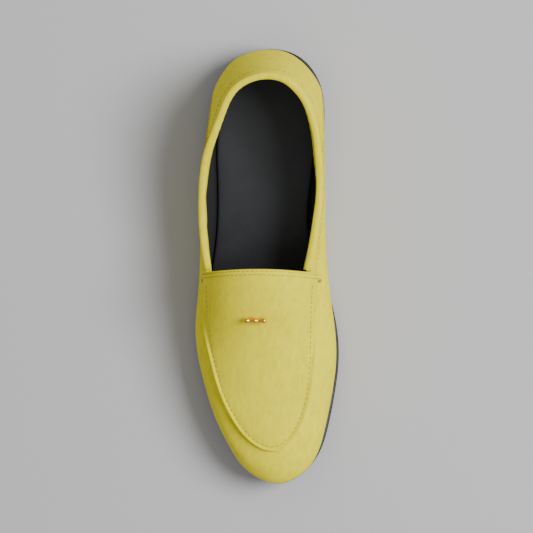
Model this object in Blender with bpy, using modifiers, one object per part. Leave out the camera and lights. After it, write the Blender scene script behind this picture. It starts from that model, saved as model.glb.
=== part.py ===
"""A woman's suede loafer, right shoe, standing empty on its sole.

Metres, +Z up. The toe points along -Y, +X is the medial side (the big toe's side) and the
floor is z = 0. The tables are in millimetres. A station is the distance from the back of
the heel, measured along the shoe. The last's shape is held by five lines that run round
the shoe: sole edge, belly, shoulder and rim, and the crest along the instep.
"""

import math
from collections import namedtuple

import bmesh
import bpy
import numpy as np

MM = 0.001
LENGTH = 262.0  # heel back to toe tip, a woman's EU 37 to 38
LATERAL = -1
MEDIAL = 1

# Thicknesses and clearances, in millimetres
GAP = 0.3
WALL = 2.2  # suede and lining together
APRON_GAP = 0.45  # the apron's two faces follow its own rows, so it keeps a little more room
PANEL_THICK = 0.9  # the heel panel lies flush in a recess of the wall
PANEL_SINK = PANEL_THICK + GAP + 0.05
HEEL_DEPTH = 3.3  # outer face to lining at the heel, with its stiffener
ROLL_HALF_WIDTH = 2.2
ROLL_HALF_HEIGHT = 1.4
ROLL_CENTRE = 1.85  # from the outer face to the middle of the roll
INSOLE_THICK = 2.6
FEATHER_INSET = 1.6  # the sole edge stands out this far from the upper
HEEL_BREAST_LATERAL = 66.0
HEEL_BREAST_MEDIAL = 75.0
HEEL_FLARE = 0.8  # the heel's back stands this far behind the sole edge
HEEL_TOP = 7.6  # underside of the sole above the heel
LIFT_TOP = 3.3

# Places of the seams and edges, as stations
THROAT_CORNER = 133.4  # the apron's throat edge at its two corners
THROAT_BOW = 3.4  # its middle lies this much nearer the heel
BASE_THROAT = 134.9  # the wall under the apron stops a little short of the apron
ROLL_END = 132.2
LIP_START = 10.0  # the apron's raised lip begins this far ahead of the throat

Line = namedtuple("Line", "heel toe heel_across toe_across heel_radius toe_radius rows")
Row = namedtuple("Row", "station lateral medial lateral_up medial_up")
Sole = namedtuple("Sole", "station top edge bottom")
Crest = namedtuple("Crest", "station across up lateral_power medial_power")

# Height of the sole's top, depth of its visible edge and height of its underside
SOLE_PROFILE = [
    Sole(0, 16.2, 8.6, 7.6),
    Sole(20, 14.8, 7.2, 7.6),
    Sole(45, 14.5, 6.9, 7.6),
    Sole(68, 14.4, 6.8, 7.6),
    Sole(80, 13.5, 5.7, 7.7),
    Sole(92, 12.4, 4.8, 7.5),
    Sole(106, 10.5, 4.8, 5.7),
    Sole(120, 8.6, 4.8, 3.5),
    Sole(132, 7.1, 4.8, 1.7),
    Sole(142, 6.2, 4.8, 0.0),
    Sole(177, 7.1, 4.8, 0.0),
    Sole(190, 8.0, 4.8, 1.2),
    Sole(205, 9.9, 4.8, 3.2),
    Sole(220, 11.7, 4.8, 5.0),
    Sole(235, 13.6, 4.8, 8.1),
    Sole(250, 16.4, 4.7, 11.5),
    Sole(262, 19.6, 4.5, 15.0),
]

SOLE_EDGE = Line(0.8, 261.9, 2.8, 6.9, 36.0, 16.5, [
    Row(6, -18.6, 20.2, 0, 0),
    Row(12, -24.6, 26.4, 0, 0),
    Row(22, -30.2, 32.0, 0, 0),
    Row(40, -33.4, 34.2, 0, 0),
    Row(65, -34.0, 33.0, 0, 0),
    Row(90, -33.4, 29.8, 0, 0),
    Row(112, -34.4, 29.2, 0, 0),
    Row(130, -37.0, 32.4, 0, 0),
    Row(150, -40.9, 37.8, 0, 0),
    Row(173, -43.1, 42.6, 0, 0),
    Row(190, -40.8, 43.0, 0, 0),
    Row(208, -35.9, 40.7, 0, 0),
    Row(225, -29.7, 37.5, 0, 0),
    Row(240, -21.9, 33.4, 0, 0),
    Row(251, -14.4, 26.9, 0, 0),
])

# The widest line of the wall, low down
BELLY = Line(0.3, 261.8, 2.6, 6.9, 36.0, 16.5, [
    Row(0, 0, 0, 21.0, 21.0),
    Row(6, -18.3, 19.6, 21.0, 21.0),
    Row(12, -24.2, 26.0, 21.5, 21.5),
    Row(22, -30.2, 32.4, 22.0, 22.0),
    Row(40, -33.8, 34.9, 23.5, 24.0),
    Row(65, -35.2, 35.5, 26.0, 28.0),
    Row(90, -36.6, 35.8, 28.0, 32.0),
    Row(112, -38.0, 36.4, 27.0, 32.0),
    Row(130, -39.1, 37.6, 25.0, 29.0),
    Row(150, -41.0, 39.6, 22.5, 24.0),
    Row(173, -42.6, 42.2, 21.5, 22.0),
    Row(190, -40.1, 42.2, 21.0, 21.0),
    Row(208, -35.3, 39.6, 21.5, 21.5),
    Row(225, -29.2, 36.4, 22.0, 22.0),
    Row(240, -21.5, 32.6, 22.5, 22.5),
    Row(251, -14.3, 27.0, 23.0, 23.0),
    Row(262, 0, 0, 23.5, 23.5),
])

# The apron's seam, and the same level carried on round the heel
SHOULDER = Line(8.4, 239.6, 4.0, 5.2, 33.0, 13.5, [
    Row(8, 0, 0, 52.0, 52.0),
    Row(24, -24.4, 28.8, 51.0, 51.0),
    Row(40, -30.0, 34.1, 48.5, 50.0),
    Row(65, -35.9, 36.2, 45.0, 47.0),
    Row(90, -37.6, 36.5, 42.5, 44.5),
    Row(112, -37.6, 35.2, 41.0, 43.0),
    Row(125, -36.0, 33.2, 40.6, 42.2),
    Row(134, -34.7, 31.9, 40.3, 41.6),
    Row(148, -34.8, 30.9, 40.2, 41.5),
    Row(158, -34.4, 30.4, 40.1, 41.3),
    Row(172, -33.0, 29.9, 39.7, 40.9),
    Row(188, -30.2, 29.4, 39.3, 40.2),
    Row(205, -25.7, 27.5, 38.6, 39.2),
    Row(218, -19.9, 24.3, 38.3, 38.6),
    Row(230, -11.9, 18.9, 38.4, 38.5),
    Row(241, 0, 0, 38.9, 38.9),
])

# The top line, from the back of the heel to the throat
RIM = Line(15.0, 235.0, 4.4, 4.4, 29.0, 20.0, [
    Row(15, 0, 0, 74.6, 74.6),
    Row(23, -15.9, 22.1, 72.7, 72.6),
    Row(31, -21.2, 28.1, 70.9, 70.6),
    Row(40, -25.1, 31.6, 68.2, 68.8),
    Row(50, -29.4, 34.3, 64.9, 67.4),
    Row(62, -34.3, 35.5, 60.6, 65.0),
    Row(76, -37.1, 36.4, 56.0, 62.2),
    Row(92, -38.2, 35.7, 51.9, 59.0),
    Row(105, -38.0, 33.5, 50.3, 57.2),
    Row(118, -36.8, 31.0, 49.9, 56.1),
    Row(127, -35.2, 29.0, 50.0, 55.4),
    Row(134, -33.9, 27.4, 50.0, 55.0),
])

# Where the slanting heel seam crosses the wall: level, and share of the shoe's length
HEEL_SEAM = [(0, 0.072), (1, 0.098), (2, 0.137), (3, 0.211), (4, 0.25)]

# The wall's swelling between belly and shoulder
BULGE = [(0, 0.6), (60, 0.8), (120, 1.0), (150, 1.6), (175, 2.4), (210, 3.2), (262, 4.4)]

# The crest of the instep under the apron, and how squarely each side drops from it
CREST = [
    Crest(124, -1.2, 79.6, 0.44, 0.56),
    Crest(130, -1.5, 77.0, 0.455, 0.59),
    Crest(151, -2.3, 66.5, 0.62, 0.68),
    Crest(171, -2.1, 54.8, 0.85, 0.85),
    Crest(194, -0.8, 46.3, 1.0, 1.0),
    Crest(218, 1.8, 41.65, 1.0, 1.0),
    Crest(236, 4.2, 39.9, 1.0, 1.0),
    Crest(241, 4.8, 38.9, 1.0, 1.0),
]

# The apron's rolled edge in section: distance in from the seam, height over the wall
LIP_INNER = [(5.0, APRON_GAP), (2.0, APRON_GAP), (0.2, APRON_GAP)]
LIP_OUTER = [(-0.4, 0.8), (-0.55, 1.6), (-0.35, 2.4), (0.25, 2.8), (1.0, 2.4), (1.8, 1.7), (2.8, 1.9), (5.0, 2.0)]

# The ornament on the vamp: a plain bar with a bead at each end and a ring at its middle
BAR_STATION = 159.0
BAR_ACROSS = -3.2
BAR_LENGTH = 14.0
BAR_RADIUS = 1.15
BEAD_RADIUS = 1.9
RING_RADIUS = 1.8
POST_RADIUS = 0.8
POST_OFFSET = 3.2
BAR_LIFT = 2.5  # from the apron to the middle of the bar

# Counts of columns and rows
HEEL_COLUMNS = 12
QUARTER_COLUMNS = 10
VAMP_COLUMNS = 18
WALL_ROWS = [0, 0.5, 1, 1.35, 1.7, 2.1, 2.55, 3]
COLLAR_ROWS = 3
RUNG_CELLS = 16
APRON_COLUMNS = 24
APRON_CELLS = 14
ROLL_COLUMNS = 26
ROLL_SIDES = 10
SOLE_COLUMNS = 36
HEEL_COLUMNS_EACH = 12


def smooth(x, xs, ys):
    """The value at x of a smooth curve through the points xs, ys."""
    last = len(xs) - 1
    i = int(min(max(np.searchsorted(xs, x) - 1, 0), last - 1))

    def slope(k):
        if k == 0 or k == last:
            a, b = (0, 1) if k == 0 else (last - 1, last)
            return (ys[b] - ys[a]) / (xs[b] - xs[a])
        before, after = xs[k] - xs[k - 1], xs[k + 1] - xs[k]
        rise_before, rise_after = (ys[k] - ys[k - 1]) / before, (ys[k + 1] - ys[k]) / after
        return (rise_before * after + rise_after * before) / (before + after)

    width = xs[i + 1] - xs[i]
    t = min(max((x - xs[i]) / width, 0.0), 1.0)
    start, end = slope(i) * width, slope(i + 1) * width
    return (ys[i] * (1 + 2 * t) * (1 - t) ** 2 + ys[i + 1] * t * t * (3 - 2 * t)
            + start * t * (1 - t) ** 2 - end * t * t * (1 - t))


def column(rows, name):
    return [getattr(row, name) for row in rows]


def share_of(line, station):
    """How far along a line a station lies, from 0 at the heel to 1 at the toe."""
    return min(max((station - line.heel) / (line.toe - line.heel), 0.0), 1.0)


def turn_of(line, station):
    """The angle, from 0 at the heel to pi at the toe, at which a line passes a station."""
    return math.acos(1 - 2 * share_of(line, station))


FULLNESS = {}


def fullness(line, side):
    """A line's half width divided by that of a circle, at the angle of each of its rows."""
    key = (id(line), side)
    if key not in FULLNESS:
        reach = line.toe - line.heel
        turns, full = [0.0], [math.sqrt(line.heel_radius * reach / 2)]
        for row in line.rows:
            share = share_of(line, row.station)
            if row.lateral == row.medial or not 0.005 < share < 0.995:
                continue
            middle = line.heel_across + (line.toe_across - line.heel_across) * share
            edge = row.lateral if side == LATERAL else row.medial
            turns.append(turn_of(line, row.station))
            full.append(side * (edge - middle) / math.sin(turns[-1]))
        turns.append(math.pi)
        full.append(math.sqrt(line.toe_radius * reach / 2))
        FULLNESS[key] = (turns, full)
    return FULLNESS[key]


def across(line, side, turn):
    """Where a line runs on one side, from its angle."""
    share = (1 - math.cos(turn)) / 2
    middle = line.heel_across + (line.toe_across - line.heel_across) * share
    return middle + side * math.sin(turn) * smooth(turn, *fullness(line, side))


def line_point(line, side, turn):
    """The point of a line at an angle: across, station and height."""
    station = line.heel + (line.toe - line.heel) * (1 - math.cos(turn)) / 2
    name = "lateral_up" if side == LATERAL else "medial_up"
    up = smooth(station, column(line.rows, "station"), column(line.rows, name))
    return np.array([across(line, side, turn), station, up])


def sole_level(station, name):
    return smooth(station, column(SOLE_PROFILE, "station"), column(SOLE_PROFILE, name))


def plan_inward(line, side, turn):
    """The unit direction, seen from above, from a line towards the inside of the shoe."""
    step = 0.01
    a = line_point(line, side, max(turn - step, 0.0))
    b = line_point(line, side, min(turn + step, math.pi))
    if turn < step:
        return np.array([0.0, 1.0])
    if turn > math.pi - step:
        return np.array([0.0, -1.0])
    along = (b - a)[:2] / np.linalg.norm((b - a)[:2])
    return np.array([along[1], -along[0]]) * -side


def sole_point(side, turn, inset, height):
    """A point of the sole's outline moved inwards, at a height that depends on its station."""
    point = line_point(SOLE_EDGE, side, turn)
    point[:2] += plan_inward(SOLE_EDGE, side, turn) * inset
    point[2] = height(point[1])
    return point


def wall_knots(side, turn):
    """Feather, belly, bulge, shoulder and rim of the wall at one angle."""
    feather = sole_point(side, turn, FEATHER_INSET, lambda s: sole_level(s, "top") + GAP)
    belly = line_point(BELLY, side, turn)
    shoulder = line_point(SHOULDER, side, turn)
    rim = line_point(RIM, side, turn)
    rise = shoulder - belly
    inward = plan_inward(BELLY, side, turn)
    lean = float(rise[:2] @ inward)
    out = np.array([-inward[0] * rise[2], -inward[1] * rise[2], lean])
    swelling = smooth(belly[1], [b[0] for b in BULGE], [b[1] for b in BULGE])
    bulge = belly + 0.45 * rise + swelling * out / np.linalg.norm(out)
    return [feather, belly, bulge, shoulder, rim]


def wall_point(side, turn, level, collar=True):
    """A point of the wall's outer face: level 0 is the feather, 3 the shoulder, 4 the rim."""
    knots = wall_knots(side, turn)
    if not collar:
        knots = knots[:4]
    gaps = [np.linalg.norm(b - a) for a, b in zip(knots, knots[1:])]
    along = np.concatenate([[0.0], np.cumsum(gaps)])
    i = int(min(level, len(knots) - 2))
    place = along[i] + (level - i) * gaps[i]
    return np.array([smooth(place, along, [k[axis] for k in knots]) for axis in range(3)])


def seam_turn(level):
    """The angle of the heel seam at a level of the wall: it slants up towards the toe."""
    return math.acos(1 - 2 * smooth(level, [h[0] for h in HEEL_SEAM], [h[1] for h in HEEL_SEAM]))


THROAT_TURN = turn_of(SHOULDER, BASE_THROAT)


def column_turn(k, level):
    """The angle of the k-th column of the wall, from the heel's middle to the toe's."""
    seam = seam_turn(level)
    if k <= HEEL_COLUMNS:
        return seam * k / HEEL_COLUMNS
    k -= HEEL_COLUMNS
    if k <= QUARTER_COLUMNS:
        return seam + (THROAT_TURN - seam) * k / QUARTER_COLUMNS
    k -= QUARTER_COLUMNS
    return THROAT_TURN + (math.pi - THROAT_TURN) * k / VAMP_COLUMNS


def rim_level(side, turn, drop):
    """The wall's level at a distance below the rim."""
    knots = wall_knots(side, turn)
    return 4 - drop / np.linalg.norm(knots[4] - knots[3])


def crest_at(station, name):
    return smooth(station, column(CREST, "station"), column(CREST, name))


def crown(x, station):
    """Height of the vamp under the apron, from the shoulder lines up to the crest."""
    middle = crest_at(station, "across")
    side = LATERAL if x < middle else MEDIAL
    edge = line_point(SHOULDER, side, turn_of(SHOULDER, station))
    power = crest_at(station, "lateral_power" if side == LATERAL else "medial_power")
    t = min(abs((x - middle) / (edge[0] - middle)), 1.0)
    return edge[2] + (crest_at(station, "up") - edge[2]) * (1 - t * t) ** power


def crown_normal(x, station):
    """Upward unit normal of the vamp."""
    step = 0.05
    dx = (crown(x + step, station) - crown(x - step, station)) / (2 * step)
    ds = (crown(x, station + step) - crown(x, station - step)) / (2 * step)
    normal = np.array([-dx, -ds, 1.0])
    return normal / np.linalg.norm(normal)


def crown_share(side, station, up):
    """How far out from the crest, from 0 to 1, the vamp has a height."""
    edge = line_point(SHOULDER, side, turn_of(SHOULDER, station))
    power = crest_at(station, "lateral_power" if side == LATERAL else "medial_power")
    rise = (up - edge[2]) / (crest_at(station, "up") - edge[2])
    return math.sqrt(1 - rise ** (1 / power))


def crown_point(share, station):
    """A point of the vamp from its share of the half width, below 0 on the lateral side."""
    side = LATERAL if share < 0 else MEDIAL
    edge = line_point(SHOULDER, side, turn_of(SHOULDER, station))
    middle = crest_at(station, "across")
    x = middle + abs(share) * (edge[0] - middle)
    return np.array([x, station, crown(x, station)])


def bow(share, station, start):
    """The throat edge is bowed towards the heel, and the rungs ahead of it ever less."""
    fade = min(max(1 - (station - start) / 40, 0.0), 1.0)
    return THROAT_BOW * (1 - share * share) * fade * fade


def unit(vector):
    return vector / np.linalg.norm(vector)


def to_world(point):
    """From across, station and height in millimetres to the shoe's frame in metres."""
    return (point[0] * MM, (LENGTH / 2 - point[1]) * MM, point[2] * MM)


class Body:
    """Points and faces of one closed body, gathered piece by piece."""

    def __init__(self):
        self.points = []
        self.faces = []

    def add(self, point):
        self.points.append(np.array(point, float))
        return len(self.points) - 1

    def face(self, *corners):
        kept = []
        for corner in corners:
            if corner not in kept:
                kept.append(corner)
        if len(kept) > 2:
            self.faces.append(kept)

    def strip(self, first, second):
        """Faces between two rows of the same length."""
        for a, b, c, d in zip(first, first[1:], second[1:], second):
            self.face(a, b, c, d)

    def band(self, first, second):
        """Faces between two closed loops of the same length."""
        self.strip(first + first[:1], second + second[:1])


def make_object(name, body, material, sharp=35):
    """A mesh object of a body, its faces turned outwards."""
    mesh = bpy.data.meshes.new(name)
    mesh.from_pydata([to_world(p) for p in body.points], [], body.faces)
    shape = bmesh.new()
    shape.from_mesh(mesh)
    bmesh.ops.recalc_face_normals(shape, faces=shape.faces)
    shape.to_mesh(mesh)
    shape.free()
    mesh.shade_smooth()
    mesh.set_sharp_from_angle(angle=math.radians(sharp))
    mesh.materials.append(material)
    made = bpy.data.objects.new(name, mesh)
    PARTS.objects.link(made)
    return made


def make_material(name, colour, roughness, metallic=0.0):
    material = bpy.data.materials.new(name)
    material.use_nodes = True
    shader = material.node_tree.nodes["Principled BSDF"]
    shader.inputs["Base Color"].default_value = (*colour, 1)
    shader.inputs["Roughness"].default_value = roughness
    shader.inputs["Metallic"].default_value = metallic
    material.diffuse_color = (*colour, 1)
    return material


def halves(points, face):
    """A four-cornered face cut along its shorter diagonal; any other face as it is."""
    if len(face) != 4:
        return [face]
    a, b, c, d = face
    if np.linalg.norm(points[a] - points[c]) <= np.linalg.norm(points[b] - points[d]):
        return [(a, b, c), (a, c, d)]
    return [(a, b, d), (b, c, d)]


def thicken(surface, sinks, depths):
    """A closed wall from an open surface: its outer face sunk and its inner face set deeper."""
    shape = bmesh.new()
    for point in surface.points:
        shape.verts.new(to_world(point))
    shape.verts.ensure_lookup_table()
    for face in surface.faces:
        shape.faces.new([shape.verts[i] for i in face])
    bmesh.ops.recalc_face_normals(shape, faces=shape.faces)
    shape.normal_update()
    centre = np.array([0.0, 0.0, 0.03])
    outwards = sum(float(v.normal @ v.co) - float(v.normal @ v.co.__class__(centre))
                   for v in shape.verts)
    sign = 1 if outwards > 0 else -1
    normals = [np.array([v.normal.x, -v.normal.y, v.normal.z]) * sign for v in shape.verts]
    edges = [[v.index for v in edge.verts] for edge in shape.edges if edge.is_boundary]
    shape.free()
    wall = Body()
    outer = [wall.add(p - n * s) for p, n, s in zip(surface.points, normals, sinks)]
    inner = [wall.add(p - n * d) for p, n, d in zip(surface.points, normals, depths)]
    for face in surface.faces:
        for part in halves(surface.points, face):
            wall.face(*[outer[i] for i in part])
            wall.face(*[inner[i] for i in part])
    for a, b in edges:
        wall.face(outer[a], outer[b], inner[b], inner[a])
    return wall


def wall_columns():
    """Column numbers once round the shoe with their side, the heel seam's doubled."""
    last = HEEL_COLUMNS + QUARTER_COLUMNS + VAMP_COLUMNS
    seam = HEEL_COLUMNS - 0.012
    lateral = sorted([*range(last + 1), seam])
    medial = lateral[-2:0:-1]
    return [(LATERAL, k) for k in lateral] + [(MEDIAL, k) for k in medial]


def make_upper(material):
    """Wall and vamp of the upper: one hollow shell, open at the collar, throat and underneath."""
    throat = HEEL_COLUMNS + QUARTER_COLUMNS
    surface = Body()
    sinks, depths, rows = [], [], {}

    def put(point, sink, depth):
        sinks.append(sink)
        depths.append(depth)
        return surface.add(point)

    for side, k in wall_columns():
        behind = k < HEEL_COLUMNS
        ahead = min(max(k - HEEL_COLUMNS, 0) / 4, 1.0)
        depth = HEEL_DEPTH + (WALL - HEEL_DEPTH) * ahead
        sink = PANEL_SINK if behind else 0.0
        made = []
        for level in WALL_ROWS:
            turn = column_turn(k, level)
            made.append(put(wall_point(side, turn, level, collar=k <= throat), sink, depth))
        top = rim_level(side, column_turn(k, 4), 2 * ROLL_HALF_HEIGHT + GAP)
        for j in range(1, COLLAR_ROWS + 1):
            if k < throat:
                level = 3 + (top - 3) * j / COLLAR_ROWS
                point = wall_point(side, column_turn(k, level), level)
            elif k == throat:
                start = line_point(SHOULDER, side, THROAT_TURN)[2]
                end = line_point(RIM, side, THROAT_TURN)[2] - 2 * ROLL_HALF_HEIGHT - GAP
                up = start + (end - start) * j / COLLAR_ROWS
                point = crown_point(side * crown_share(side, BASE_THROAT, up), BASE_THROAT)
            else:
                break
            made.append(put(point, sink, depth))
        rows[(side, k)] = made

    order = wall_columns()
    for (side, k), (next_side, next_k) in zip(order, order[1:] + order[:1]):
        here, there = rows[(side, k)], rows[(next_side, next_k)]
        shared = min(len(here), len(there))
        if max(k, next_k) > throat:
            shared = len(WALL_ROWS)
        surface.strip(here[:shared], there[:shared])

    # Rungs of the vamp, from the lateral shoulder over the crest to the medial one
    last = throat + VAMP_COLUMNS
    seat = len(WALL_ROWS) - 1
    lateral, medial = rows[(LATERAL, throat)][seat:], rows[(MEDIAL, throat)][seat:]
    ends = [math.asin(-crown_share(LATERAL, BASE_THROAT, surface.points[lateral[-1]][2])),
            math.asin(crown_share(MEDIAL, BASE_THROAT, surface.points[medial[-1]][2]))]
    inside = RUNG_CELLS - 2 * COLLAR_ROWS
    rung = list(lateral)
    for j in range(1, inside):
        share = math.sin(ends[0] + (ends[1] - ends[0]) * j / inside)
        near = share / math.sin(ends[0] if share < 0 else ends[1])
        station = BASE_THROAT - bow(near, BASE_THROAT, BASE_THROAT)
        rung.append(put(crown_point(share, station), 0.0, WALL))
    rung += medial[::-1]
    for k in range(throat + 1, last + 1):
        station = line_point(SHOULDER, LATERAL, column_turn(k, 3))[1]
        lateral = rows[(LATERAL, k)][seat]
        medial = rows[(MEDIAL, k)][seat] if k < last else lateral
        following = [lateral]
        for j in range(1, RUNG_CELLS):
            if k == last:
                following.append(lateral)
                continue
            share = math.sin(math.pi * (j / RUNG_CELLS - 0.5))
            bowed = station - bow(share, station, BASE_THROAT)
            following.append(put(crown_point(share, bowed), 0.0, WALL))
        following.append(medial)
        surface.strip(rung, following)
        rung = following
    return make_object("upper", thicken(surface, sinks, depths), material)


def make_heel_panel(material):
    """The back panel of the upper, laid flush in the wall's recess between its two seams."""
    surface = Body()
    edge = HEEL_COLUMNS - 0.11
    counts = [*range(HEEL_COLUMNS), edge]
    order = [(LATERAL, k) for k in counts[::-1]] + [(MEDIAL, k) for k in counts[1:]]
    before = None
    for side, k in order:
        top = rim_level(side, column_turn(k, 4), 2 * ROLL_HALF_HEIGHT + GAP)
        levels = WALL_ROWS + [3 + (top - 3) * j / COLLAR_ROWS for j in range(1, COLLAR_ROWS + 1)]
        made = [surface.add(wall_point(side, column_turn(k, level), level)) for level in levels]
        if before:
            surface.strip(before, made)
        before = made
    count = len(surface.points)
    return make_object("heel_panel", thicken(surface, [0.0] * count, [PANEL_THICK] * count), material)


def wall_frame(side, turn, level):
    """A wall point with its outward normal and the direction down the wall."""
    point = wall_point(side, turn, level)
    down = unit(wall_point(side, turn, level - 0.1) - point)
    ahead = wall_point(side, turn + 0.01, level) - wall_point(side, max(turn - 0.01, 0.0), level)
    normal = unit(np.cross(ahead, down))
    inward = plan_inward(BELLY, side, turn)
    if normal[:2] @ inward > 0:
        normal = -normal
    return point, normal, down


def make_collar_roll(material):
    """The rolled edge of the top line: a soft bead that stands on the wall's edge."""
    body = Body()
    end = turn_of(RIM, ROLL_END)
    turns = [end * k / ROLL_COLUMNS for k in range(ROLL_COLUMNS + 1)]
    order = [(LATERAL, t) for t in turns[::-1]] + [(MEDIAL, t) for t in turns[1:]]
    loops = []
    for side, turn in order:
        point, normal, down = wall_frame(side, turn, 4)
        centre = point - normal * ROLL_CENTRE + down * ROLL_HALF_HEIGHT
        loop = []
        for j in range(ROLL_SIDES):
            angle = 2 * math.pi * j / ROLL_SIDES
            loop.append(body.add(centre + normal * ROLL_HALF_WIDTH * math.cos(angle)
                                 + down * ROLL_HALF_HEIGHT * math.sin(angle)))
        loops.append(loop)
    for first, second in zip(loops, loops[1:]):
        body.band(first, second)
    body.face(*loops[0])
    body.face(*loops[-1])
    return make_object("collar_roll", body, material, sharp=60)


def creep(x, station, direction, distance):
    """The plan position reached by walking a distance over the vamp in a plan direction."""
    steps = 12
    probe = 0.02
    place = np.array([x, station], float)
    for _ in range(steps):
        ahead = place + direction * probe
        slope = (crown(*ahead) - crown(*place)) / probe
        place = place + direction * distance / steps / math.sqrt(1 + slope * slope)
    return place


def apron_column(side, turn):
    """Points of the apron's rolled edge at one angle of its seam, inner ones first."""
    seam = line_point(SHOULDER, side, turn)
    ahead = line_point(SHOULDER, side, min(turn + 0.01, math.pi))
    behind = line_point(SHOULDER, side, turn - 0.01)
    if turn > math.pi - 0.011:
        ahead = line_point(SHOULDER, -side, math.pi - 0.01)
    along = unit(ahead - behind)
    direction = plan_inward(SHOULDER, side, turn)
    near = creep(seam[0], seam[1], direction, 2.0)
    inward = np.array([near[0], near[1], crown(*near)]) - seam
    inward = unit(inward - along * (inward @ along))
    normal = np.cross(along, inward)
    if normal[2] < 0 or normal[:2] @ direction > 0:
        normal = -normal
    start = min(max((seam[1] - THROAT_CORNER) / LIP_START, 0.0), 1.0)
    flat = 2.0
    points = []
    for distance, height in LIP_INNER + LIP_OUTER:
        if height > flat:
            height = flat + (height - flat) * start
        if distance <= 2.0:
            points.append(seam + inward * distance + normal * height)
        else:
            place = creep(seam[0], seam[1], direction, distance)
            base = np.array([place[0], place[1], crown(*place)])
            points.append(base + crown_normal(*place) * height)
    deepest = creep(seam[0], seam[1], direction, LIP_OUTER[-1][0])
    return points, deepest


def make_apron(material):
    """The plug over the toes and instep, with its rolled lip, laid over the vamp."""
    body = Body()
    start = turn_of(SHOULDER, THROAT_CORNER)
    turns = [start + (math.pi - start) * k / APRON_COLUMNS for k in range(APRON_COLUMNS + 1)]
    columns = {}
    deepest = {}
    for side in (LATERAL, MEDIAL):
        for k, turn in enumerate(turns):
            if side == MEDIAL and k == APRON_COLUMNS:
                columns[(side, k)] = columns[(LATERAL, k)]
                deepest[(side, k)] = deepest[(LATERAL, k)]
                continue
            points, place = apron_column(side, turn)
            columns[(side, k)] = [body.add(p) for p in points]
            deepest[(side, k)] = place
        for k in range(APRON_COLUMNS):
            body.strip(columns[(side, k)], columns[(side, k + 1)])

    before = None
    for k in range(APRON_COLUMNS + 1):
        left, right = columns[(LATERAL, k)], columns[(MEDIAL, k)]
        a, b = deepest[(LATERAL, k)], deepest[(MEDIAL, k)]
        outer, inner = [left[-1]], [left[0]]
        middle = crest_at((a[1] + b[1]) / 2, "across")
        spread = []
        for side, place in ((LATERAL, a), (MEDIAL, b)):
            edge = across(SHOULDER, side, turn_of(SHOULDER, place[1]))
            share = abs((place[0] - middle) / (edge - middle))
            spread.append(side * math.asin(min(share, 1.0)))
        for j in range(1, APRON_CELLS):
            if k == APRON_COLUMNS:
                outer.append(left[-1])
                inner.append(left[0])
                continue
            mix = j / APRON_CELLS
            share = math.sin(spread[0] + (spread[1] - spread[0]) * mix)
            near = share / math.sin(spread[0] if share < 0 else spread[1])
            station = a[1] + (b[1] - a[1]) * mix
            station -= bow(near, station, THROAT_CORNER)
            base = crown_point(share, station)
            normal = crown_normal(base[0], base[1])
            outer.append(body.add(base + normal * LIP_OUTER[-1][1]))
            inner.append(body.add(base + normal * APRON_GAP))
        outer.append(right[-1])
        inner.append(right[0])
        if before:
            body.strip(before[0], outer)
            body.strip(before[1], inner)
        else:
            body.strip(outer, inner)
            body.face(*left)
            body.face(*right)
        before = (outer, inner)
    return make_object("apron", body, material, sharp=50)


def make_outsole(material):
    """The flat leather sole: heel seat, arch, toe spring and a crowned underside."""
    body = Body()
    turns = [math.pi * k / SOLE_COLUMNS for k in range(SOLE_COLUMNS + 1)]
    top = lambda s: sole_level(s, "top")
    edge = lambda s: sole_level(s, "top") - sole_level(s, "edge")
    bottom = lambda s: max(sole_level(s, "bottom"), 0.0)
    rings = [(0.6, top), (0.0, lambda s: top(s) - 0.5), (0.0, lambda s: edge(s) + 0.5), (0.6, edge)]
    loops = []
    for inset, height in rings:
        lateral = [body.add(sole_point(LATERAL, t, inset, height)) for t in turns]
        medial = [body.add(sole_point(MEDIAL, t, inset, height)) for t in turns[1:-1]]
        loops.append(lateral + medial[::-1])
    for first, second in zip(loops, loops[1:]):
        body.band(first, second)
    cells = 8
    for loop, under in ((loops[0], False), (loops[-1], True)):
        before = None
        for k in range(SOLE_COLUMNS + 1):
            left, right = loop[k], loop[-k]
            if k in (0, SOLE_COLUMNS):
                right = left
            row = [left]
            a, b = body.points[left], body.points[right]
            for j in range(1, cells):
                if left == right or not under:
                    break
                share = 2 * j / cells - 1
                rise = min(max((abs(share) - 0.5) / 0.5, 0.0), 1.0)
                rise = rise * rise * (3 - 2 * rise)
                point = a + (b - a) * j / cells
                low = min(bottom(point[1]), edge(point[1]))
                point[2] = low + (edge(point[1]) - low) * rise
                row.append(body.add(point))
            if under and left == right:
                row = [left] * cells
            row.append(right)
            if before:
                body.strip(before, row)
            before = row
    return make_object("outsole", body, material)


def make_insole(material):
    """The leather-covered footbed, inside the wall and on the sole."""
    body = Body()
    turns = [math.pi * k / SOLE_COLUMNS for k in range(SOLE_COLUMNS + 1)]
    low = lambda s: sole_level(s, "top") + GAP
    loops = []
    for inset, rise in ((0.5, 0.0), (0.0, 0.4), (0.0, INSOLE_THICK - 0.6), (0.8, INSOLE_THICK)):
        loop = []
        for side, angles in ((LATERAL, turns), (MEDIAL, turns[-2:0:-1])):
            for turn in angles:
                share = (1 - math.cos(turn)) / 2
                heel = max(1 - share * 4, 0.0)
                wall = WALL + (HEEL_DEPTH - WALL) * min(heel * 2, 1.0)
                depth = FEATHER_INSET + wall + 0.5 + inset
                loop.append(body.add(sole_point(side, turn, depth, lambda s: low(s) + rise)))
        loops.append(loop)
    for first, second in zip(loops, loops[1:]):
        body.band(first, second)
    for loop in (loops[0], loops[-1]):
        before = None
        for k in range(SOLE_COLUMNS + 1):
            row = [loop[k], loop[-k] if k not in (0, SOLE_COLUMNS) else loop[k]]
            if before:
                body.strip(before, row)
            before = row
    return make_object("insole", body, material)


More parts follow.
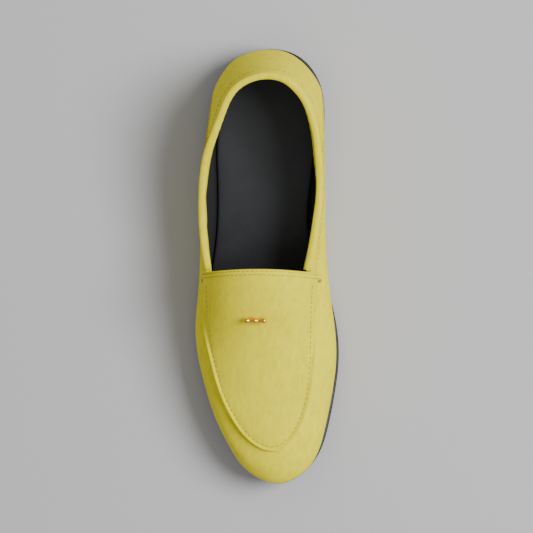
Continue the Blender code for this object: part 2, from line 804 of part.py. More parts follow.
def heel_outline(inset):
    """The heel's outline seen from above: the sole's back end, closed by a slanting breast."""
    points = []
    ends = {LATERAL: HEEL_BREAST_LATERAL, MEDIAL: HEEL_BREAST_MEDIAL}
    for side in (LATERAL, MEDIAL):
        end = turn_of(SOLE_EDGE, ends[side] - inset)
        turns = [end * k / HEEL_COLUMNS_EACH for k in range(HEEL_COLUMNS_EACH + 1)]
        run = []
        for turn in turns if side == MEDIAL else turns[::-1]:
            point = sole_point(side, turn, inset, lambda s: 0.0)
            point[1] -= HEEL_FLARE * max(1 - point[1] / 30, 0.0)
            run.append(point)
        points += run if side == LATERAL else run[1:]
    return points


def make_heel_layer(name, levels, material):
    """One layer of the heel, from a list of insets and heights."""
    body = Body()
    loops = []
    for inset, up in levels:
        loop = []
        for point in heel_outline(inset):
            point[2] = up
            loop.append(body.add(point))
        loops.append(loop)
    for first, second in zip(loops, loops[1:]):
        body.band(first, second)
    body.face(*loops[0])
    body.face(*loops[-1])
    return make_object(name, body, material)


def make_ornament(material):
    """A gold bar with beads, held on two short posts over the crest of the vamp."""
    base = np.array([BAR_ACROSS, BAR_STATION, crown(BAR_ACROSS, BAR_STATION)])
    normal = crown_normal(BAR_ACROSS, BAR_STATION)
    seat = base + normal * (LIP_OUTER[-1][1] + GAP)
    centre = base + normal * (LIP_OUTER[-1][1] + BAR_LIFT)
    half = BAR_LENGTH / 2 - BEAD_RADIUS

    profile = [(0.0, -half - BEAD_RADIUS)]
    for angle in (-60, -30, 0, 30):
        turn = math.radians(angle)
        profile.append((BEAD_RADIUS * math.cos(turn), -half + BEAD_RADIUS * math.sin(turn)))
    profile += [(BAR_RADIUS, -half + 1.6), (BAR_RADIUS, -1.1), (RING_RADIUS, -0.8)]
    profile += [(r, -y) for r, y in profile[::-1]]
    mesh = bpy.data.meshes.new("ornament_bar")
    verts = [(r * MM, 0.0, y * MM) for r, y in profile[::-1]]
    mesh.from_pydata(verts, [(i, i + 1) for i in range(len(verts) - 1)], [])
    bar = bpy.data.objects.new("ornament_bar", mesh)
    PARTS.objects.link(bar)
    screw = bar.modifiers.new("turned", "SCREW")
    screw.steps = 16
    screw.render_steps = 16
    screw.use_merge_vertices = True
    screw.merge_threshold = 0.00002
    bar.location = to_world(centre)
    bar.rotation_euler = (0, math.radians(90), 0)
    mesh.materials.append(material)

    tilt = math.atan2(normal[1], normal[2])
    for index, shift in enumerate((-POST_OFFSET, POST_OFFSET)):
        spot = crown(BAR_ACROSS + shift, BAR_STATION)
        foot = np.array([BAR_ACROSS + shift, BAR_STATION, spot]) + normal * (LIP_OUTER[-1][1] + GAP)
        head = centre + np.array([shift, 0, 0])
        length = np.linalg.norm(head - foot)
        bpy.ops.mesh.primitive_cylinder_add(
            vertices=12, radius=POST_RADIUS * MM, depth=length * MM,
            location=to_world((foot + head) / 2), rotation=(tilt, 0, 0))
        post = bpy.context.object
        post.name = f"post_cutter_{index}"
        post.display_type = "WIRE"
        post.hide_render = True
        for holder in post.users_collection:
            holder.objects.unlink(post)
        CUTTERS.objects.link(post)
        joined = bar.modifiers.new(f"post {index}", "BOOLEAN")
        joined.operation = "UNION"
        joined.solver = "EXACT"
        joined.object = post
    return bar


for old in list(bpy.data.objects):
    bpy.data.objects.remove(old)

PARTS = bpy.data.collections.new("loafer")
CUTTERS = bpy.data.collections.new("loafer cutters")
bpy.context.scene.collection.children.link(PARTS)
bpy.context.scene.collection.children.link(CUTTERS)

suede = make_material("yellow suede", (0.72, 0.66, 0.10), 0.9)
suede_trim = make_material("yellow suede edge", (0.75, 0.69, 0.13), 0.9)
sole_leather = make_material("black edged sole leather", (0.02, 0.02, 0.022), 0.45)
heel_leather = make_material("black heel stack", (0.018, 0.018, 0.02), 0.4)
lift_rubber = make_material("black top lift", (0.015, 0.015, 0.016), 0.55)
insole_leather = make_material("black insole leather", (0.02, 0.022, 0.026), 0.5)
gold = make_material("polished gold", (0.83, 0.6, 0.22), 0.2, 1.0)

make_outsole(sole_leather)
make_heel_layer("heel_block", [(0.3, HEEL_TOP - GAP), (0.0, HEEL_TOP - 0.6),
                               (0.0, LIFT_TOP + 0.6), (0.2, LIFT_TOP + GAP)], heel_leather)
make_heel_layer("heel_top_lift", [(0.2, LIFT_TOP), (0.0, LIFT_TOP - 0.3),
                                  (0.0, 0.5), (0.5, 0.0)], lift_rubber)
make_upper(suede)
make_heel_panel(suede)
make_insole(insole_leather)
make_collar_roll(suede_trim)
make_apron(suede)
make_ornament(gold)
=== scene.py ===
"""The looks of a woman's yellow suede loafer, right shoe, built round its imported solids."""

import math

import bmesh
import bpy
import numpy as np
from mathutils import Matrix, Vector, noise
from mathutils.kdtree import KDTree


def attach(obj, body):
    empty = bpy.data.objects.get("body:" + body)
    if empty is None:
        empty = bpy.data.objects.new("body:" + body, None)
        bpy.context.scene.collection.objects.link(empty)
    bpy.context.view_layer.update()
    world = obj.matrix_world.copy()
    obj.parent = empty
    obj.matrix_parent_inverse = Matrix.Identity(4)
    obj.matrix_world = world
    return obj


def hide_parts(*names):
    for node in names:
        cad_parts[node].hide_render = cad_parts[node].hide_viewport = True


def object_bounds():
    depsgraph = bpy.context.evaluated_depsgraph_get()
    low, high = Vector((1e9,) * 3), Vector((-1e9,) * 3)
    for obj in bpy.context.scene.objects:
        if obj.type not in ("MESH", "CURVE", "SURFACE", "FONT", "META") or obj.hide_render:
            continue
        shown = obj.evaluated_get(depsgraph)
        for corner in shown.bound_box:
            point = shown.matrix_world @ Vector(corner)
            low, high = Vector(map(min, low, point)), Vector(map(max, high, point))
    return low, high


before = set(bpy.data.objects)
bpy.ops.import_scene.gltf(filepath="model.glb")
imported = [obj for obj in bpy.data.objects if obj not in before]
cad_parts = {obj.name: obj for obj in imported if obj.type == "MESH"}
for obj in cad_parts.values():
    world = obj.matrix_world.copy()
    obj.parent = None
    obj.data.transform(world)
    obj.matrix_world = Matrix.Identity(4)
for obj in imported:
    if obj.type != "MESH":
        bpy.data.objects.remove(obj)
cad_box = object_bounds()
heel_back = cad_box[1][1]
MM = 0.001


def at(across, station, up=0.0):
    """A place from millimetres: across, from the heel's back along the shoe, and up."""
    return Vector((across * MM, heel_back - station * MM, up * MM))


# Camera and table
# The shoe is photographed from straight overhead with a long lens, the toe towards the
# bottom of the picture and the lens a little towards the medial side and the heel.
CAMERA_DISTANCE = 3.0
CAMERA_LEAN_ACROSS = 4.0  # degrees
CAMERA_LEAN_BACK = 2.0
FRAME_WIDTH = 0.3195  # metres of table across the picture at the shoe
FLOOR_GREY = 0.52
AIM = at(1.0, 130.5, 30.0)

lean = Vector((math.tan(math.radians(CAMERA_LEAN_ACROSS)), math.tan(math.radians(CAMERA_LEAN_BACK)), 1))
eye = AIM + lean.normalized() * CAMERA_DISTANCE
back = (eye - AIM).normalized()
right = Vector((0, 1, 0)).cross(back).normalized()
up = back.cross(right)
camera_data = bpy.data.cameras.new("camera")
camera_data.sensor_width = 36
camera_data.lens = 36 * CAMERA_DISTANCE / FRAME_WIDTH
camera_data.clip_end = 20
camera = bpy.data.objects.new("camera", camera_data)
camera.matrix_world = Matrix.Translation(eye) @ Matrix((right, up, back)).transposed().to_4x4()
bpy.context.scene.collection.objects.link(camera)
bpy.context.scene.camera = camera


def finish(name, colour, roughness, metallic=0.0):
    """A new material, with its nodes, its links and its shader."""
    made = bpy.data.materials.new(name)
    made.use_nodes = True
    shader = made.node_tree.nodes["Principled BSDF"]
    shader.inputs["Base Color"].default_value = (*colour, 1)
    shader.inputs["Roughness"].default_value = roughness
    shader.inputs["Metallic"].default_value = metallic
    made.diffuse_color = (*colour, 1)
    return made, made.node_tree.nodes, made.node_tree.links, shader


def deselect():
    if bpy.context.object and bpy.context.object.mode != "OBJECT":
        bpy.ops.object.mode_set(mode="OBJECT")
    bpy.ops.object.select_all(action="DESELECT")


deselect()
bpy.ops.mesh.primitive_plane_add(size=6.0, location=(0, 0, 0))
table = bpy.context.object
table.name = "table"
paper, nodes, links, shader = finish("grey paper", (FLOOR_GREY, FLOOR_GREY, FLOOR_GREY * 1.03), 0.9)
shader.inputs["Specular IOR Level"].default_value = 0.1
table.data.materials.append(paper)

# Light: one large soft box high on the medial side, and a pale room all round
KEY_PLACE = Vector((1.5, 0.25, 1.9))
KEY_SIZE = 1.3
KEY_POWER = 78.0
ROOM_LIGHT = 0.42


def soft_box(name, place, size, power):
    data = bpy.data.lights.new(name, "AREA")
    data.shape = "DISK"
    data.size = size
    data.energy = power
    made = bpy.data.objects.new(name, data)
    made.location = place
    made.rotation_euler = (AIM - place).to_track_quat("-Z", "Y").to_euler()
    bpy.context.scene.collection.objects.link(made)
    return made


soft_box("key light", KEY_PLACE, KEY_SIZE, KEY_POWER)
room = bpy.data.worlds.new("room")
room.use_nodes = True
room.node_tree.nodes["Background"].inputs["Color"].default_value = (1, 1, 1, 1)
room.node_tree.nodes["Background"].inputs["Strength"].default_value = ROOM_LIGHT
bpy.context.scene.world = room


# Outsole
# A thin sole of firm leather, cut to the outline of the last, glued and stitched on. Its
# edge is trimmed, painted black and burnished; the underside is left a natural brown.
EDGE_BLACK = (0.008, 0.008, 0.009)
UNDERSIDE_BROWN = (0.26, 0.115, 0.07)
MERGE = 0.00002


def copy_of(node, name):
    """A new object with a CAD node's mesh, its loose triangles merged and paired."""
    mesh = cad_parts[node].data.copy()
    mesh.name = name
    mesh.materials.clear()
    made = bpy.data.objects.new(name, mesh)
    bpy.context.scene.collection.objects.link(made)
    deselect()
    made.select_set(True)
    bpy.context.view_layer.objects.active = made
    bpy.ops.object.mode_set(mode="EDIT")
    bpy.ops.mesh.select_all(action="SELECT")
    bpy.ops.mesh.remove_doubles(threshold=MERGE)
    bpy.ops.mesh.tris_convert_to_quads(face_threshold=math.radians(30), shape_threshold=math.radians(50))
    bpy.ops.object.mode_set(mode="OBJECT")
    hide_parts(node)
    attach(made, "root")
    return made


def refine(piece, levels, crease_over=50, crease=0.9):
    """Smooths a piece by subdivision, holding the edges that are sharper than an angle."""
    shape = bmesh.new()
    shape.from_mesh(piece.data)
    layer = shape.edges.layers.float.get("crease_edge") or shape.edges.layers.float.new("crease_edge")
    for edge in shape.edges:
        if edge.calc_face_angle(0) > math.radians(crease_over):
            edge[layer] = crease
    shape.to_mesh(piece.data)
    shape.free()
    smoothing = piece.modifiers.new("smoothing", "SUBSURF")
    smoothing.levels = levels
    smoothing.render_levels = levels
    apply_modifier(piece, smoothing)


def apply_modifier(piece, modifier):
    deselect()
    piece.select_set(True)
    bpy.context.view_layer.objects.active = piece
    bpy.ops.object.modifier_apply(modifier=modifier.name)


def shade(piece, angle=40):
    deselect()
    piece.select_set(True)
    bpy.context.view_layer.objects.active = piece
    bpy.ops.object.shade_smooth_by_angle(angle=math.radians(angle))


def grain(nodes, links, shader, scale, strength, depth, detail=4.0, stretch=(1, 1, 1)):
    """A fine relief on a material, from noise on the object's own coordinates."""
    place = nodes.new("ShaderNodeTexCoord")
    turn = nodes.new("ShaderNodeMapping")
    turn.inputs["Scale"].default_value = stretch
    texture = nodes.new("ShaderNodeTexNoise")
    texture.inputs["Scale"].default_value = scale
    texture.inputs["Detail"].default_value = detail
    bump = nodes.new("ShaderNodeBump")
    bump.inputs["Strength"].default_value = strength
    bump.inputs["Distance"].default_value = depth
    links.new(place.outputs["Object"], turn.inputs["Vector"])
    links.new(turn.outputs["Vector"], texture.inputs["Vector"])
    links.new(texture.outputs["Fac"], bump.inputs["Height"])
    links.new(bump.outputs["Normal"], shader.inputs["Normal"])
    return turn, texture, bump


def mottle(nodes, links, socket, place, scale, dark, light, low=0.35, high=0.65, detail=3.0):
    """Patches of two colours that melt into each other."""
    texture = nodes.new("ShaderNodeTexNoise")
    texture.inputs["Scale"].default_value = scale
    texture.inputs["Detail"].default_value = detail
    ramp = nodes.new("ShaderNodeValToRGB")
    ramp.color_ramp.elements[0].position = low
    ramp.color_ramp.elements[0].color = (*dark, 1)
    ramp.color_ramp.elements[1].position = high
    ramp.color_ramp.elements[1].color = (*light, 1)
    links.new(place, texture.inputs["Vector"])
    links.new(texture.outputs["Fac"], ramp.inputs["Fac"])
    links.new(ramp.outputs["Color"], socket)
    return ramp


def shaded(colour, factor):
    return tuple(c * factor for c in colour)


def painted_edge(name):
    """Black edge dressing, burnished: a soft sheen with fine streaks along the edge."""
    made, nodes, links, shader = finish(name, EDGE_BLACK, 0.36)
    shader.inputs["Specular IOR Level"].default_value = 0.2
    turn, texture, bump = grain(nodes, links, shader, 420, 0.3, 0.00025, stretch=(0.25, 0.25, 2.2))
    wear = nodes.new("ShaderNodeMapRange")
    wear.inputs["To Min"].default_value = 0.26
    wear.inputs["To Max"].default_value = 0.5
    links.new(texture.outputs["Fac"], wear.inputs["Value"])
    links.new(wear.outputs["Result"], shader.inputs["Roughness"])
    mottle(nodes, links, shader.inputs["Base Color"], turn.outputs["Vector"], 60,
           shaded(EDGE_BLACK, 0.7), shaded(EDGE_BLACK, 1.7))
    return made


def sole_underside(name):
    """Natural sole leather with a fine grain and faint scuffs."""
    made, nodes, links, shader = finish(name, UNDERSIDE_BROWN, 0.5)
    turn, texture, bump = grain(nodes, links, shader, 900, 0.25, 0.0002)
    mottle(nodes, links, shader.inputs["Base Color"], turn.outputs["Vector"], 45,
           shaded(UNDERSIDE_BROWN, 0.8), shaded(UNDERSIDE_BROWN, 1.15))
    return made


edge_black = painted_edge("black edge dressing")
outsole = copy_of("outsole", "outsole_dressed")
refine(outsole, 2, crease_over=40, crease=0.75)
outsole.data.materials.append(edge_black)
outsole.data.materials.append(sole_underside("natural sole leather"))
for face in outsole.data.polygons:
    face.material_index = 1 if face.normal.z < -0.75 else 0
shade(outsole)

# Heel block and top lift
# Layers of leather glued under the heel seat, sanded flush with the sole's edge and painted
# black. The front face is left brown. The last layer, on the floor, is fine matt rubber.
BREAST_BROWN = (0.17, 0.07, 0.04)
RUBBER_BLACK = (0.013, 0.013, 0.014)

breast, nodes, links, shader = finish("heel front leather", BREAST_BROWN, 0.5)
grain(nodes, links, shader, 500, 0.3, 0.0002, stretch=(0.3, 0.3, 3))
rubber, nodes, links, shader = finish("top lift rubber", RUBBER_BLACK, 0.6)
grain(nodes, links, shader, 1500, 0.2, 0.0001)
for node, side_finish, slot_name in (("heel_block", edge_black, "heel_leather"),
                                     ("heel_top_lift", rubber, "lift_rubber")):
    layer = copy_of(node, f"{node}_dressed")
    refine(layer, 2, crease_over=30, crease=0.95)
    layer.data.materials.append(side_finish)
    layer.data.materials.append(breast)
    for face in layer.data.polygons:
        faces_toe = face.normal.y < -0.85 and abs(face.normal.z) < 0.4
        face.material_index = 1 if faces_toe and face.center.y < at(0, 60).y else 0
    shade(layer, 30)

# Insole
# A footbed of thin black calf over a soft layer, laid on the sole from heel to toe, with its edge turned
# down. Its black is tinted slightly blue: a painted blue sheen.
INSOLE_BLACK_WITH_BLUE_SHEEN = (0.017, 0.019, 0.023)

# The calf's black carries a slight blue tint, a painted sheen.
calf, nodes, links, shader = finish("black insole calf with painted blue sheen", INSOLE_BLACK_WITH_BLUE_SHEEN, 0.44)
turn, texture, bump = grain(nodes, links, shader, 1100, 0.35, 0.00016)
mottle(nodes, links, shader.inputs["Base Color"], turn.outputs["Vector"], 38,
       shaded(INSOLE_BLACK_WITH_BLUE_SHEEN, 0.8), shaded(INSOLE_BLACK_WITH_BLUE_SHEEN, 1.35))
insole = copy_of("insole", "insole_covered")
refine(insole, 2, crease_over=40, crease=0.4)
insole.data.materials.append(calf)
shade(insole)

# Upper
# Kid suede closed over the last with a thin black leather lining. The suede turns in over
# the rim, so a band of it shows inside. The foot's bending leaves soft folds at the sides.
SUEDE_YELLOW = (0.87, 0.76, 0.012)
SUEDE_DARK = (0.70, 0.60, 0.005)
SUEDE_LIGHT = (0.97, 0.87, 0.03)
LINING_BLACK = (0.016, 0.016, 0.018)
FACING_WIDTH = 10.5 * MM  # how far the suede runs down inside from the rim
WANDER = 0.22 * MM  # the suede's own slight unevenness
WANDER_SCALE = 42.0


def suede(name):
    """Brushed suede: a dry nap, patches and streaks where it lies differently, a soft sheen."""
    made, nodes, links, shader = finish(name, SUEDE_YELLOW, 0.92)
    shader.inputs["Specular IOR Level"].default_value = 0.12
    shader.inputs["Sheen Weight"].default_value = 0.25
    shader.inputs["Sheen Roughness"].default_value = 0.45
    shader.inputs["Sheen Tint"].default_value = (1.0, 0.9, 0.15, 1)
    turn, texture, bump = grain(nodes, links, shader, 1400, 0.55, 0.00035, detail=6)
    patches = mottle(nodes, links, shader.inputs["Base Color"], turn.outputs["Vector"], 30,
                     SUEDE_DARK, SUEDE_YELLOW, 0.2, 0.55, detail=6)
    brush = nodes.new("ShaderNodeMapping")
    brush.inputs["Scale"].default_value = (1.0, 0.35, 0.6)
    streaks = mottle(nodes, links, shader.inputs["Base Color"], brush.outputs["Vector"], 420,
                     SUEDE_DARK, SUEDE_LIGHT, 0.3, 0.7, detail=5)
    brushed = nodes.new("ShaderNodeMix")
    brushed.data_type = "RGBA"
    brushed.inputs["Factor"].default_value = 0.45
    links.new(turn.outputs["Vector"], brush.inputs["Vector"])
    links.new(patches.outputs["Color"], brushed.inputs["A"])
    links.new(streaks.outputs["Color"], brushed.inputs["B"])
    links.new(brushed.outputs["Result"], shader.inputs["Base Color"])
    return made


def lining(name):
    """Black lining leather with a band of suede turned in along the rim."""
    made, nodes, links, shader = finish(name, LINING_BLACK, 0.5)
    turn, texture, bump = grain(nodes, links, shader, 1200, 0.35, 0.0002)
    depth = nodes.new("ShaderNodeAttribute")
    depth.attribute_name = "rim_distance"
    band = nodes.new("ShaderNodeMapRange")
    band.inputs["From Min"].default_value = FACING_WIDTH - 0.1 * MM
    band.inputs["From Max"].default_value = FACING_WIDTH + 0.1 * MM
    colour = nodes.new("ShaderNodeMix")
    colour.data_type = "RGBA"
    colour.inputs["A"].default_value = (*SUEDE_YELLOW, 1)
    colour.inputs["B"].default_value = (*LINING_BLACK, 1)
    roughness = nodes.new("ShaderNodeMapRange")
    roughness.inputs["To Min"].default_value = 0.92
    roughness.inputs["To Max"].default_value = 0.5
    links.new(depth.outputs["Fac"], band.inputs["Value"])
    links.new(band.outputs["Result"], colour.inputs["Factor"])
    links.new(band.outputs["Result"], roughness.inputs["Value"])
    links.new(colour.outputs["Result"], shader.inputs["Base Color"])
    links.new(roughness.outputs["Result"], shader.inputs["Roughness"])
    return made


def middle_of(point):
    """The nearest point of the line that runs through the middle of the shoe's inside."""
    station = (heel_back - point.y) / MM
    return at(4.0, min(max(station, 40), 222), 30)


def faces_out(point, normal):
    return normal.dot(point - middle_of(point)) > 0


def wander(point):
    """The small rise or dip of the suede at a place, the same for every piece there."""
    return WANDER * noise.noise(point * WANDER_SCALE)


def work_surface(piece, folds):
    """Presses the folds and the suede's slight unevenness into a piece's outer side."""
    mesh = piece.data
    moved = []
    for vertex in mesh.vertices:
        point, normal = vertex.co.copy(), vertex.normal.copy()
        outward = normal if faces_out(point, normal) else -normal
        rise = wander(point)
        for fold in folds:
            rise += fold.rise(point)
        moved.append(point + outward * rise)
    for vertex, point in zip(mesh.vertices, moved):
        vertex.co = point


class Fold:
    """A soft ridge (or a trough, where high is negative) along a line between two places."""

    def __init__(self, start, end, wide, high):
        self.start, self.end = at(*start), at(*end)
        self.wide, self.high = wide * MM, high * MM

    def rise(self, point):
        along = self.end - self.start
        share = (point - self.start).dot(along) / along.length_squared
        if not -0.25 < share < 1.25:
            return 0.0
        off = (point - self.start - along * share).length / self.wide
        if off > 3:
            return 0.0
        ends = math.sin(math.pi * (share + 0.25) / 1.5)
        return self.high * ends * ends * math.exp(-off * off)


FOLDS = [
    Fold((-38, 96, 47), (-40, 112, 30), 4.0, -0.7),
    Fold((-38, 108, 46), (-40, 126, 32), 4.5, -0.8),
    Fold((-37, 118, 47), (-41, 142, 33), 3.5, 0.5),
    Fold((-37, 84, 50), (-37, 94, 34), 5.0, 0.5),
    Fold((36, 100, 54), (37, 122, 38), 5.0, -0.6),
    Fold((35, 116, 52), (38, 140, 36), 4.5, 0.5),
    Fold((-33, 40, 60), (-35, 58, 46), 6.0, -0.5),
    Fold((34, 42, 62), (36, 60, 46), 6.0, -0.4),
    Fold((-20, 12, 50), (14, 10, 54), 5.0, -0.3),
    Fold((-41, 158, 33), (-42, 186, 27), 5.0, -0.35),
    Fold((41, 160, 33), (42, 188, 27), 5.0, -0.35),
]

rim_points = [v.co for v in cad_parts["collar_roll"].data.vertices]
rim_tree = KDTree(len(rim_points))
for index, point in enumerate(rim_points):
    rim_tree.insert(point, index)
rim_tree.balance()

yellow_suede = suede("yellow suede")
upper = copy_of("upper", "upper_suede")
refine(upper, 2, crease_over=50, crease=0.9)
upper.data.materials.append(yellow_suede)
upper.data.materials.append(lining("lining and facing"))
for face in upper.data.polygons:
    face.material_index = 0 if faces_out(face.center, face.normal) else 1
distance = upper.data.attributes.new("rim_distance", "FLOAT", "POINT")
for vertex in upper.data.vertices:
    distance.data[vertex.index].value = rim_tree.find(vertex.co)[2]
work_surface(upper, FOLDS)
shade(upper, 50)

# Collar facing
# A soft band of the same suede sewn inside the rim, lightly padded, so that it swells
# inwards below the roll before it meets the black lining.
FACING_SWELL = 1.7 * MM
FACING_EDGE = 0.5 * MM

facing = upper.copy()
facing.data = upper.data.copy()
facing.name = "collar_facing"
bpy.context.scene.collection.objects.link(facing)
facing.data.materials.clear()
facing.data.materials.append(yellow_suede)
shape = bmesh.new()
shape.from_mesh(facing.data)
rim_layer = shape.verts.layers.float["rim_distance"]
outside = [face for face in shape.faces
           if faces_out(face.calc_center_median(), face.normal)
           or max(vertex[rim_layer] for vertex in face.verts) > FACING_WIDTH]
bmesh.ops.delete(shape, geom=outside, context="FACES")
edge_points = {vertex for vertex in shape.verts if vertex.is_boundary}
back_side = {vertex: vertex.co + vertex.normal * 0.05 * MM for vertex in shape.verts}
swell = {}
for vertex in shape.verts:
    share = vertex[rim_layer] / FACING_WIDTH
    rise = FACING_EDGE + (FACING_SWELL - FACING_EDGE) * math.sin(math.pi * min(share, 1.0)) ** 0.7
    swell[vertex] = vertex.co + vertex.normal * (FACING_EDGE if vertex in edge_points else rise)
grown = bmesh.ops.extrude_face_region(shape, geom=shape.faces[:], use_keep_orig=True)
fronts = [item for item in grown["geom"] if isinstance(item, bmesh.types.BMVert)]
tree = KDTree(len(swell))
starts = list(swell)
for index, vertex in enumerate(starts):
    tree.insert(vertex.co, index)
tree.balance()
for vertex in fronts:
    vertex.co = swell[starts[tree.find(vertex.co)[1]]]
for vertex, place in back_side.items():
    vertex.co = place
bmesh.ops.recalc_face_normals(shape, faces=shape.faces)
shape.to_mesh(facing.data)
shape.free()
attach(facing, "root")
shade(facing, 60)

# Heel panel
# The back of the upper, a second piece of suede closed edge to edge with the sides along a
# slanting seam. It is flush with them, with a fine line between.
heel_panel = copy_of("heel_panel", "heel_panel_suede")
refine(heel_panel, 2, crease_over=50, crease=0.85)
heel_panel.data.materials.append(yellow_suede)
work_surface(heel_panel, FOLDS)
shade(heel_panel, 50)

# Collar roll
# The suede is turned over a cord along the top line, which gives the soft round rim.
collar_roll = copy_of("collar_roll", "collar_roll_suede")
refine(collar_roll, 2, crease_over=70, crease=0.6)
collar_roll.data.materials.append(yellow_suede)
work_surface(collar_roll, [])
shade(collar_roll, 60)

# Apron
# The plug over toes and instep. Its edge is rolled over the wall's and sewn through by
# hand, so a raised lip runs round it with a stitched groove just inside.
apron = copy_of("apron", "apron_suede")
refine(apron, 2, crease_over=60, crease=0.6)
apron.data.materials.append(yellow_suede)
work_surface(apron, [])
shade(apron, 60)

# Stitches
# Waxed olive thread in short stitches pulled down into the nap: along the top line, both sides of the heel
# seam, in the apron's groove and at the throat. The thread is coloured well darker than the suede: its own
# olive plus painted shade of the stitch holes and groove.
THREAD_WITH_HOLE_SHADE = (0.42, 0.33, 0.008)
PITCH = 3.1 * MM
STITCH_LENGTH = 2.0 * MM
STITCH_RADIUS = 0.26 * MM
STITCH_LIFT = 0.04 * MM
TOPLINE_DROP = 8.2 * MM  # from the middle of the roll to the row below it

# The thread material: real olive thread darkened by painted shade of its holes and groove.
thread, nodes, links, shader = finish("olive thread with painted hole shade", THREAD_WITH_HOLE_SHADE, 0.6)
turn, texture, bump = grain(nodes, links, shader, 2600, 0.5, 0.0001)
mottle(nodes, links, shader.inputs["Base Color"], turn.outputs["Vector"], 300,
       shaded(THREAD_WITH_HOLE_SHADE, 0.75), shaded(THREAD_WITH_HOLE_SHADE, 1.25))

deselect()
bpy.ops.mesh.primitive_cylinder_add(vertices=6, radius=STITCH_RADIUS, depth=STITCH_LENGTH, location=(0, 0, 0))
stitch = bpy.context.object
bpy.ops.object.mode_set(mode="EDIT")
bpy.ops.mesh.select_mode(type="EDGE")
bpy.ops.mesh.select_all(action="SELECT")
bpy.ops.mesh.bevel(offset=STITCH_RADIUS * 0.45, segments=1)
bpy.ops.object.mode_set(mode="OBJECT")
stitch.data.materials.append(thread)
stitch_mesh = stitch.data
bpy.data.objects.remove(stitch)


def cast(origin, aim, pieces):
    """Where a straight line first meets one of the pieces: the place and the normal there."""
    best = None
    for piece in pieces:
        hit, place, normal, index = piece.ray_cast(origin, (aim - origin).normalized())
        if hit and (best is None or (place - origin).length < (best[0] - origin).length):
            best = (place, normal)
    return best


def spaced(spots, pitch):
    """Evenly spaced places along a row of spots, each with its normal and direction."""
    walked = [0.0]
    for (a, _), (b, _) in zip(spots, spots[1:]):
        walked.append(walked[-1] + (b - a).length)
    count = int(walked[-1] / pitch)
    made = []
    for k in range(count):
        goal = (k + 0.5) * walked[-1] / count
        i = min(int(np.searchsorted(walked, goal)), len(spots) - 1)
        share = (goal - walked[i - 1]) / max(walked[i] - walked[i - 1], 1e-9)
        place = spots[i - 1][0].lerp(spots[i][0], share)
        normal = spots[i - 1][1].lerp(spots[i][1], share).normalized()
        made.append((place, normal, (spots[i][0] - spots[i - 1][0]).normalized()))
    return made


def sew(name, stitches, lift=STITCH_LIFT, across=False):
    """One object with a stitch at each place, lying along the row or across it."""
    made = []
    for place, normal, along in stitches:
        along = (along - normal * along.dot(normal)).normalized()
        side = normal.cross(along)
        if across:
            along, side = side, along
        turned = Matrix((side, normal, along)).transposed().to_4x4()
        copy = bpy.data.objects.new(name, stitch_mesh.copy())
        copy.matrix_world = Matrix.Translation(place + normal * lift) @ turned
        bpy.context.scene.collection.objects.link(copy)
        made.append(copy)
    deselect()
    for copy in made:
        copy.select_set(True)
    bpy.context.view_layer.objects.active = made[0]
    bpy.ops.object.join()
    row = bpy.context.object
    row.name = name
    bpy.ops.object.transform_apply(location=True, rotation=True, scale=True)
    bpy.ops.object.mode_set(mode="EDIT")
    bpy.ops.mesh.select_all(action="SELECT")
    bpy.ops.mesh.normals_make_consistent(inside=False)
    bpy.ops.object.mode_set(mode="OBJECT")
    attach(row, "root")
    return row


def curve_through(points, steps=12):
    """A smooth run of places through a few given ones."""
    made = []
    for i in range(len(points) - 1):
        before = points[max(i - 1, 0)]
        a, b = points[i], points[i + 1]
        after = points[min(i + 2, len(points) - 1)]
        for j in range(steps):
            t = j / steps
            made.append(0.5 * ((2 * a) + (b - before) * t + (2 * before - 5 * a + 4 * b - after) * t * t
                               + (3 * a - before - 3 * b + after) * t ** 3))
    made.append(points[-1])
    return made


def rim_run():
    """The middle of the collar roll, from the lateral throat corner round the heel."""
    centre = at(3, 84, 0)
    bins = 120
    groups = [[] for _ in range(bins)]
    for point in rim_points:
        angle = math.atan2(point.x - centre.x, point.y - centre.y) % (2 * math.pi)
        groups[int(angle / (2 * math.pi) * bins)].append(point)
    run = [sum(group, Vector()) / len(group) for group in groups if group]
    throat = next(i for i in range(len(run)) if (run[i] - run[i - 1]).length > 0.03)
    return run[throat:] + run[:throat]


def outward_at(run, i):
    along = run[min(i + 1, len(run) - 1)] - run[max(i - 1, 0)]
    out = along.cross(Vector((0, 0, 1))).normalized()
    return out if out.dot(run[i] - at(3, 84, 0)) > 0 else -out


SEAM_GAP_FROM, SEAM_GAP_TO = 61.0, 74.0  # the top line's row stops at the heel seam
shoe_sides = [upper, heel_panel]
run = rim_run()
rows = {"lateral quarter": [], "heel": [], "medial quarter": []}
for i, rim in enumerate(run):
    station = (heel_back - rim.y) / MM
    if SEAM_GAP_FROM < station < SEAM_GAP_TO:
        continue
    goal = rim - Vector((0, 0, TOPLINE_DROP))
    hit = cast(goal + outward_at(run, i) * 0.03, goal, shoe_sides)
    name = "heel" if station < SEAM_GAP_FROM else ("lateral quarter" if rim.x < 0 else "medial quarter")
    rows[name].append(hit)
for name, spots in rows.items():
    sew(f"stitches_top_line_{name.replace(' ', '_')}", spaced(spots, PITCH))

# The heel seam's rows: how far along the shoe from the seam itself, and where they start
SEAM_LINE = [(20.6, 15.4), (25.7, 22.3), (30.7, 28.7), (37.5, 34.8), (47.4, 41.5), (56.9, 47), (63.6, 54)]
SEAM_ROWS = {"behind": -2.2, "ahead": 2.2, "front": 7.6}
for side_name, side in (("lateral", -1), ("medial", 1)):
    for row_name, offset in SEAM_ROWS.items():
        line = []
        for station, height in SEAM_LINE:
            slope = 0.75
            line.append(at(0, station + offset * slope, height - offset * (1 - slope) * 2))
        spots = []
        for goal in curve_through(line, 6):
            origin = Vector((side * 0.08, goal.y, goal.z))
            hit = cast(origin, goal, shoe_sides)
            if hit:
                spots.append(hit)
        sew(f"stitches_heel_seam_{side_name}_{row_name}", spaced(spots, PITCH * 0.85))

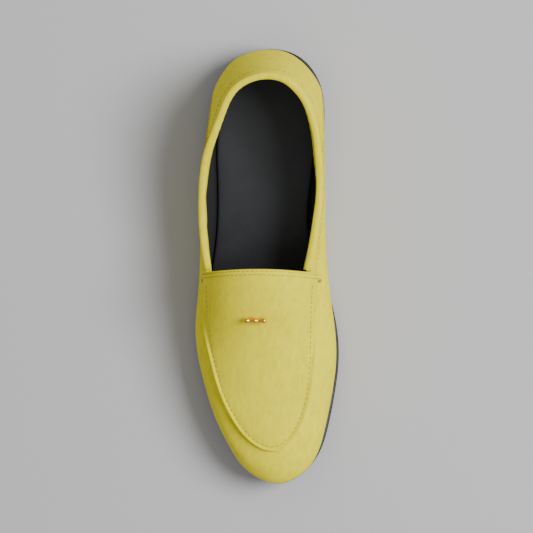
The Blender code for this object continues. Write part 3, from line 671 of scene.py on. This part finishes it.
# The apron's groove: its seam line moved inwards, and found again on the apron from above
LIP_SEAM = [(-34.8, 140.5), (-34.8, 148), (-34.4, 158), (-33, 172), (-30.2, 188), (-25.7, 205), (-19.9, 218),
            (-11.9, 230), (-4.4, 236.4), (5.2, 239.6), (13, 236.4), (18.9, 230), (24.3, 218), (27.5, 205),
            (29.4, 188), (29.9, 172), (30.4, 158), (30.9, 148), (31.4, 140.5)]
GROOVE_INSET = 1.9 * MM
seam = curve_through([at(x, s, 0) for x, s in LIP_SEAM], 6)
spots = []
for i, place in enumerate(seam):
    along = (seam[min(i + 1, len(seam) - 1)] - seam[max(i - 1, 0)]).normalized()
    inward = Vector((0, 0, 1)).cross(along).normalized()
    if inward.dot(at(2, 180, 0) - place) < 0:
        inward = -inward
    origin = place + inward * GROOVE_INSET * 0.8 + Vector((0, 0, 0.1))
    hit = cast(origin, origin - Vector((0, 0, 1)), [apron])
    if hit:
        spots.append(hit)
sew("stitches_apron", spaced(spots, PITCH))

# The two rows along the throat's edge
THROAT_CORNER, THROAT_BOW = 133.4, 3.4
THROAT_CENTRE = (-1.5, 38.0)
for name, inset in (("edge", 1.5), ("inner", 3.7)):
    spots = []
    for degrees in range(-2, 183, 3):
        turn_by = math.radians(degrees)
        out = Vector((math.cos(turn_by), 0, math.sin(turn_by)))
        bow = THROAT_BOW * max(out.z, 0) ** 1.5
        middle = at(THROAT_CENTRE[0], THROAT_CORNER - bow + inset, THROAT_CENTRE[1] + 6)
        hit = cast(middle + out * 0.09, middle, [apron])
        if hit and hit[0].z > at(0, 0, 43).z:
            spots.append(hit)
    sew(f"stitches_throat_{name}", spaced(spots, PITCH * 0.9))

# Bar tacks: dense short stitches over the ends of the groove, which take the strain
TACK_STATION = 138.6
for side_name, side in (("lateral", -1), ("medial", 1)):
    spots = []
    for step in range(19):
        goal = at(0, TACK_STATION, 37.6 + 0.5 * step)
        hit = cast(Vector((side * 0.08, goal.y, goal.z)), goal, [apron, upper])
        if hit:
            spots.append(hit)
    sew(f"bar_tack_{side_name}", spaced(spots, 0.5 * MM), lift=0.1 * MM, across=True)

# Ornament
# A small cast bar with a bead at each end, gold plated and polished, held by two prongs.
GOLD = (0.95, 0.52, 0.07)
plated, nodes, links, shader = finish("polished gold", GOLD, 0.16, 1.0)
turn, texture, bump = grain(nodes, links, shader, 700, 0.08, 0.00008)
mottle(nodes, links, shader.inputs["Base Color"], turn.outputs["Vector"], 250,
       shaded(GOLD, 0.93), GOLD)
bar = copy_of("ornament_bar", "ornament_gold_bar")
refine(bar, 1, crease_over=40, crease=0.5)
bar.data.materials.append(plated)
shade(bar, 60)
